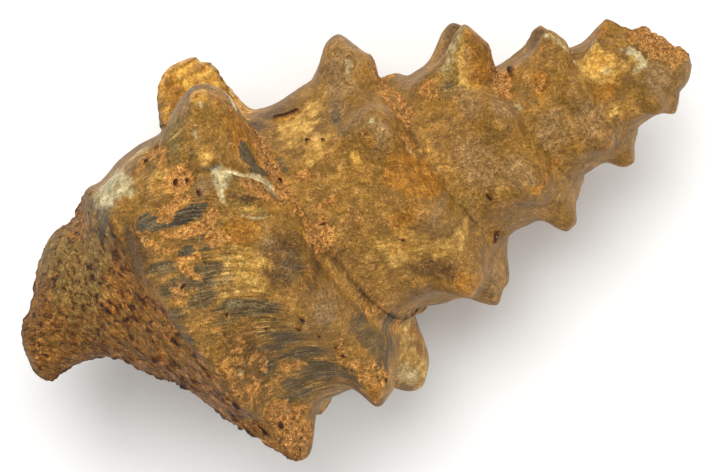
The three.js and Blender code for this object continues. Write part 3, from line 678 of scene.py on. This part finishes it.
def layDown(points):  # into the frame: metres, lying on the ground, and worn flat where it rests
    roll, pitch = math.radians(shellForm["roll"]), math.radians(shellForm["pitch"])
    cosRoll, sinRoll, cosPitch, sinPitch = math.cos(roll), math.sin(roll), math.cos(pitch), math.sin(pitch)
    turnRoll = np.array([[1, 0, 0], [0, cosRoll, -sinRoll], [0, sinRoll, cosRoll]])
    turnPitch = np.array([[cosPitch, 0, sinPitch], [0, 1, 0], [-sinPitch, 0, cosPitch]])
    laid = (points * np.array([-1, -1, 1])) @ (turnRoll @ turnPitch).T + np.array(shellForm["place"])
    laid[..., 2] = np.maximum(laid[..., 2], 0)
    return laid * metresPerMm


def gridFaces(coords, rows, columns):  # triangles, split along the shorter diagonal, and two end caps
    i, j = np.meshgrid(np.arange(rows - 1), np.arange(columns), indexing="ij")
    k = (j + 1) % columns
    quads = np.stack([i * columns + j, (i + 1) * columns + j, (i + 1) * columns + k, i * columns + k], -1)
    quads = quads.reshape(-1, 4)
    oneWay = np.linalg.norm(coords[quads[:, 0]] - coords[quads[:, 2]], axis=1)
    otherWay = np.linalg.norm(coords[quads[:, 1]] - coords[quads[:, 3]], axis=1)
    shorter = (oneWay <= otherWay)[:, None]
    first = np.where(shorter, quads[:, [0, 1, 2]], quads[:, [0, 1, 3]])
    second = np.where(shorter, quads[:, [0, 2, 3]], quads[:, [1, 2, 3]])
    column = np.arange(columns)
    following = (column + 1) % columns
    lastRow = (rows - 1) * columns
    apexCap = np.stack([np.full(columns, rows * columns), column, following], -1)
    canalCap = np.stack([np.full(columns, rows * columns + 1), lastRow + following, lastRow + column], -1)
    return np.concatenate([first, second, apexCap, canalCap])


def buildShell():
    points, coats = workSurface()
    points = layDown(points)
    coords = np.concatenate([points.reshape(-1, 3), [points[0].mean(0), points[-1].mean(0)]])
    faces = gridFaces(coords, *points.shape[:2])
    mesh = bpy.data.meshes.new("shellFine")
    mesh.vertices.add(len(coords))
    mesh.vertices.foreach_set("co", coords.astype(np.float32).ravel())
    mesh.loops.add(len(faces) * 3)
    mesh.loops.foreach_set("vertex_index", faces.astype(np.int32).ravel())
    mesh.polygons.add(len(faces))
    mesh.polygons.foreach_set("loop_start", np.arange(0, len(faces) * 3, 3, dtype=np.int32))
    mesh.update(calc_edges=True)
    mesh.validate()
    for name, values in coats.items():
        layer = mesh.attributes.new(name, "FLOAT", "POINT")
        full = np.concatenate([values.ravel(), [values[0].mean(), values[-1].mean()]])
        layer.data.foreach_set("value", full.astype(np.float32))
    fine = addObject("shellFine", mesh)
    thin = fine.modifiers.new("thin", "DECIMATE")
    thin.ratio = surfaceWork["keepTriangles"] / len(faces)
    thin.use_collapse_triangulate = True
    kept = bpy.data.meshes.new_from_object(fine.evaluated_get(bpy.context.evaluated_depsgraph_get()))
    bpy.data.objects.remove(fine)
    kept.name = "gastropodShell"
    kept.polygons.foreach_set("use_smooth", np.ones(len(kept.polygons), dtype=bool))
    print("shell mesh:", len(kept.polygons), "triangles")
    return addObject("gastropodShell", kept)


def addObject(name, data):
    made = bpy.data.objects.new(name, data)
    bpy.context.scene.collection.objects.link(made)
    return made


def linear(hexColour):
    parts = [int(hexColour[i:i + 2], 16) / 255 for i in (1, 3, 5)]
    return tuple(p / 12.92 if p <= 0.04045 else ((p + 0.055) / 1.055) ** 2.4 for p in parts) + (1,)


def addNode(tree, kind, settings, inputs):  # inputs by name or in order: sockets, sRGB colours or values
    node = tree.nodes.new("ShaderNode" + kind)
    for name, value in settings.items():
        setattr(node, name, value)
    for name, value in inputs.items() if isinstance(inputs, dict) else enumerate(inputs):
        if isinstance(value, bpy.types.NodeSocket):
            tree.links.new(value, node.inputs[name])
        else:
            node.inputs[name].default_value = linear(value) if isinstance(value, str) else value
    return node


# Fossilised aragonite shell, stained and cemented by ground water: waxy greyish brown with a low gloss and
# tiny pale specks painted as glints, drawn over with fine growth lines, slate-dark and honey-gold where it is
# thin, the tall spine's gold lightened as painted light shining through it, and crusted with rough ochre
# sediment. Its hollows and low places are darkened as painted shade, and its high places lightened as a
# painted highlight.
shellFinish = {
    "ground": "#916824",
    "ior": 1.53,
    "specular": 0.2,
    # coordinates, size in mm of the pattern, detail, roughness, distortion
    "patterns": {
        "clouds": ("solid", (5, 5, 5), 3, 0.6, 0.5),
        "blotches": ("solid", (2.2, 2.2, 2.2), 4, 0.65, 0.6),
        "mottle": ("solid", (0.9, 0.9, 0.9), 4, 0.65, 0.3),
        "grain": ("solid", (0.34, 0.34, 0.34), 3, 0.75, 0),
        "fine": ("solid", (0.15, 0.15, 0.15), 2, 0.7, 0),
        "streaks": ("growth", (0.26, 3, 1), 4, 0.7, 0.5),
        "bands": ("growth", (0.9, 4.2, 1), 4, 0.7, 0.8),
        "wisps": ("coil", (0.45, 1.6, 1), 4, 0.7, 0.8),
        "pits": ("coil", (0.7, 1.7, 1), 3, 0.6, 0.8),
    },
    # What lies over what: the coating (or how common it is), the pattern that breaks it up, how ragged that
    # makes it, how much further or less far it reaches, how soft its edge is, how much it covers, and its two
    # colours with the pattern that mixes them.
    "layers": [
        (0.5, "clouds", 1.5, 0, 0.25, 0.65, "#846030", "#946c38", "mottle"),
        (0.42, "blotches", 1.8, 0, 0.2, 0.6, "#aa762a", "#ba8a3a", "mottle"),
        (0.36, "mottle", 1.8, 0, 0.2, 0.5, "#9a6a2e", "#b28042", "grain"),
        ("lined", "bands", 1.6, -0.5, 0.25, 0.6, "#5f4922", "#7b6130", "streaks"),
        ("lined", "streaks", 3, -0.78, 0.25, 0.55, "#c0944a", "#d8b46c", "mottle"),
        ("base", "wisps", 0.6, 0, 0.2, 1, "#83622c", "#986628", "blotches"),
        ("base", "wisps", 3, -0.6, 0.3, 0.75, "#a2601c", "#c88a3c", "mottle"),
        # dark browns over the stain coat: real stains, and painted shade where that coat lies in hollows
        ("stainAndShade", "blotches", 1, 0, 0.3, 0.85, "#573a1a", "#6e4c22", "mottle"),
        ("lilac", "mottle", 1.4, 0, 0.45, 0.62, "#876a46", "#a8885c", "grain"),
        ("olive", "mottle", 1.2, 0, 0.3, 0.85, "#84682e", "#a08240", "grain"),
        ("gold", "blotches", 1.4, 0, 0.26, 0.92, "#b07e30", "#d6aa58", "mottle"),
        ("honey", "blotches", 1, 0, 0.3, 0.9, "#c07e26", "#eeb850", "mottle"),
        ("amber", "blotches", 1.2, 0, 0.3, 0.9, "#8c5912", "#b57a28", "mottle"),
        ("base", "pits", 3, -0.62, 0.2, 0.7, "#a35c1a", "#c27c34", "mottle"),
        # painted shade: dark pits laid over the base where the pits pattern is high
        ("base", "pits", 3, -0.74, 0.15, 0.9, "#46280c", "#5e3612", "mottle"),
        ("grey", "bands", 2, 0, 0.3, 0.9, "#4e3e26", "#76623e", "streaks"),
        ("slate", "bands", 1.5, 0.12, 0.1, 0.8, "#ab6824", "#c58636", "streaks"),
        ("slate", "bands", 1.5, 0, 0.07, 0.95, "#403a2c", "#78694a", "streaks"),
        ("cream", "mottle", 1.3, 0, 0.35, 0.8, "#b5a374", "#dfd2a4", "mottle"),
        ("sediment", "mottle", 2.2, 0, 0.24, 0.94, "#b4732e", "#d69b50", "grain"),
        ("sediment", "mottle", 3, -0.68, 0.25, 0.6, "#8a4a1c", "#a05f28", "fine"),
        # pale specks on the sediment: painted glints
        ("sediment", "fine", 3, -0.74, 0.25, 0.6, "#dca962", "#e9c286", "fine"),
        # painted shade in the pores, pits, holes and cracks and under the spine's plates
        ("hollowShade", "grain", 0.8, 0.12, 0.3, 0.8, "#8a4416", "#6a3410", "mottle"),
        ("hollowShade", "grain", 0.6, -0.16, 0.2, 0.9, "#38190a", "#4e2a0e", "mottle"),
        # pale specks scattered over the whole shell: painted glints
        (0, "fine", 3, 0, 0.25, 0.4, "#d2b27c", "#e8d4a4", "grain")],
    # fine light and dark: the coating it is seen on, the pattern, and the shade at its low and high side
    "shades": [(None, "clouds", 0.9, 1.1), (None, "blotches", 0.88, 1.12), (None, "mottle", 0.8, 1.2),
               (None, "grain", 0.6, 1.42), (None, "fine", 0.74, 1.3), ("lined", "streaks", 0.46, 1.56),
               # the base's pits shade is painted shade: darker in the pits, lighter between them
               ("base", "wisps", 0.62, 1.36), ("base", "pits", 1.3, 0.55), ("sediment", "grain", 0.8, 1.15)],
    # where a pattern mixes two colours, and where it shades or roughens
    "mixRange": (0.36, 0.64),
    "patternRange": (0.3, 0.7),
    # painted shade that darkens the low places of the relief and a painted highlight that lightens the high
    # ones, from which relief on
    "sunkShade": (-0.9, 0, 0.55, 1),
    "raised": (0.1, 0.9, 1, 1.28),
    # the pattern, its full height in mm, and the coating it belongs to
    "bumps": [("streaks", 0.3, "lined"), ("mottle", 0.34, None), ("grain", 0.22, None), ("fine", 0.08, None),
              ("grain", 0.2, "sediment"), ("wisps", 0.45, "base")],
    "roughness": (0.28, 0.6),
    "rougherOn": {"sediment": 0.35, "base": 0.12, "cream": 0.08, "olive": -0.06, "amber": -0.05},
}


def buildFinish(coatNames):
    finish = shellFinish
    patternRange = finish["patternRange"]
    material = bpy.data.materials.new("cementedFossilShell")
    material.use_nodes = True
    tree = material.node_tree
    tree.nodes.clear()

    marks = {}
    for name in coatNames:
        marks[name] = addNode(tree, "Attribute", {"attribute_name": name}, {}).outputs["Fac"]
    place = addNode(tree, "TexCoord", {}, {}).outputs["Object"]
    placeMm = addNode(tree, "VectorMath", {"operation": "SCALE"}, {0: place, "Scale": 1 / metresPerMm})
    growth = addNode(tree, "CombineXYZ", {}, {0: marks["lineAcross"], 1: marks["lineAlong"]})
    coil = addNode(tree, "CombineXYZ", {}, {0: marks["coilAcross"], 1: marks["coilAlong"]})
    spaces = {"solid": placeMm.outputs[0], "growth": growth.outputs[0], "coil": coil.outputs[0]}

    patterns = {}
    for name, (space, sizeMm, detail, roughness, distortion) in finish["patterns"].items():
        stretched = addNode(tree, "VectorMath", {"operation": "DIVIDE"}, {0: spaces[space], 1: sizeMm})
        noise = addNode(tree, "TexNoise", {}, {"Vector": stretched.outputs[0], "Scale": 1, "Detail": detail,
                                               "Roughness": roughness, "Distortion": distortion})
        patterns[name] = noise.outputs["Fac"]

    mixing = {"data_type": "RGBA"}
    colour = finish["ground"]
    for over, brokenBy, ragged, shift, edge, covers, one, other, mixedBy in finish["layers"]:
        middle = 0.5 + 0.5 * ragged - shift
        broken = addNode(tree, "Math", {"operation": "MULTIPLY_ADD"},
                         (patterns[brokenBy], ragged, marks.get(over, over)))
        cover = addNode(tree, "MapRange", {"interpolation_type": "SMOOTHSTEP"},
                        (broken.outputs[0], middle - edge, middle + edge, 0, covers))
        share = addNode(tree, "MapRange", {}, (patterns[mixedBy], *finish["mixRange"], 0, 1))
        own = addNode(tree, "Mix", mixing, {0: share.outputs[0], 6: one, 7: other})
        laid = addNode(tree, "Mix", mixing, {0: cover.outputs[0], 6: colour, 7: own.outputs[2]})
        colour = laid.outputs[2]

    shading = {"data_type": "RGBA", "blend_type": "MULTIPLY"}
    for coat, pattern, low, high in finish["shades"]:
        shade = addNode(tree, "MapRange", {}, (patterns[pattern], *patternRange, low, high))
        where = marks[coat] if coat else 1
        colour = addNode(tree, "Mix", shading, {0: where, 6: colour, 7: shade.outputs[0]}).outputs[2]
    # painted shade in the relief's low places and painted highlight on its high places
    sunkShade = addNode(tree, "MapRange", {}, (marks["relief"], *finish["sunkShade"]))
    raised = addNode(tree, "MapRange", {}, (marks["relief"], *finish["raised"]))
    reliefShading = addNode(tree, "Math", {"operation": "MULTIPLY"}, (sunkShade.outputs[0], raised.outputs[0]))
    colour = addNode(tree, "Mix", shading, {0: 1, 6: colour, 7: reliefShading.outputs[0]}).outputs[2]

    grain = addNode(tree, "MapRange", {}, (patterns["grain"], *patternRange, *finish["roughness"]))
    roughness = grain.outputs[0]
    for coat, more in finish["rougherOn"].items():
        rougher = addNode(tree, "Math", {"operation": "MULTIPLY_ADD"}, (marks[coat], more, roughness))
        roughness = rougher.outputs[0]

    normal = addNode(tree, "NewGeometry", {}, {}).outputs["Normal"]
    for pattern, heightMm, coat in finish["bumps"]:
        bump = {"Strength": marks[coat] if coat else 1, "Distance": heightMm * metresPerMm,
                "Height": patterns[pattern], "Normal": normal}
        normal = addNode(tree, "Bump", {}, bump).outputs[0]
    surface = {"Base Color": colour, "Roughness": roughness, "IOR": finish["ior"],
               "Specular IOR Level": finish["specular"], "Normal": normal}
    shader = addNode(tree, "BsdfPrincipled", {}, surface)
    addNode(tree, "OutputMaterial", {}, {"Surface": shader.outputs[0]})
    return material


shell = buildShell()
coatNames = [layer.name for layer in shell.data.attributes if layer.data_type == "FLOAT"]
shell.data.materials.clear()
shell.data.materials.append(buildFinish(coatNames))
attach(shell, "root")
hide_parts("shell")
print("shell finished")


studio = {
    "floorColour": "#fbfbf9",
    "floorRoughness": 0.9,
    "floorSize": 3,
    "worldColour": "#ffffff",
    "worldStrength": 0.37,
    # from where, across in metres, watts
    "lamps": [("topLamp", (0.23, 0.41, 1.00), 0.9, 11.2), ("rightLamp", (0.77, -0.33, 0.89), 0.7, 2.9),
              ("leftLamp", (-0.61, -0.26, 1.05), 0.7, 2.6)],
}
view = {
    "toward": (0.1317, -0.0536, 0.9898),
    "up": (0.4064, 0.9137, -0.0046),
    "aimMm": (-0.668, -2.709, 24.043),
    "distance": 1.2,
    "widthMm": 70.8,
    "sensorMm": 36,
    "nearestSeen": 0.05,
}


def buildFloor():
    material = bpy.data.materials.new("mattPaper")  # smooth matt card: an even pale ground
    material.use_nodes = True
    shader = material.node_tree.nodes["Principled BSDF"]
    shader.inputs["Base Color"].default_value = linear(studio["floorColour"])
    shader.inputs["Roughness"].default_value = studio["floorRoughness"]
    half = studio["floorSize"] / 2
    mesh = bpy.data.meshes.new("floor")
    corners = [(-half, -half, 0), (half, -half, 0), (half, half, 0), (-half, half, 0)]
    mesh.from_pydata(corners, [], [(0, 1, 2, 3)])
    mesh.materials.append(material)
    floor = addObject("floor", mesh)


def buildLight():
    for name, fromWhere, across, watts in studio["lamps"]:
        lamp = bpy.data.lights.new(name, "AREA")
        lamp.shape = "DISK"
        lamp.size = across
        lamp.energy = watts
        holder = addObject(name, lamp)
        holder.location = fromWhere
        holder.rotation_euler = Vector(fromWhere).to_track_quat("Z", "Y").to_euler()
    world = bpy.data.worlds.new("softRoom")
    world.use_nodes = True
    background = world.node_tree.nodes["Background"]
    background.inputs["Color"].default_value = linear(studio["worldColour"])
    background.inputs["Strength"].default_value = studio["worldStrength"]
    bpy.context.scene.world = world
    bpy.context.scene.view_settings.view_transform = "Standard"


def buildCamera():
    toward = Vector(view["toward"]).normalized()
    up = Vector(view["up"])
    up = (up - toward * up.dot(toward)).normalized()
    right = up.cross(toward)
    camera = bpy.data.cameras.new("camera")
    camera.sensor_width = view["sensorMm"]
    camera.lens = view["sensorMm"] * view["distance"] / metresPerMm / view["widthMm"]
    camera.clip_start = view["nearestSeen"]
    holder = addObject("camera", camera)
    turned = Matrix((right, up, toward)).transposed().to_4x4()
    turned.translation = Vector(view["aimMm"]) * metresPerMm + toward * view["distance"]
    holder.matrix_world = turned
    bpy.context.scene.camera = holder


buildFloor()
buildLight()
buildCamera()
print("studio and camera set")
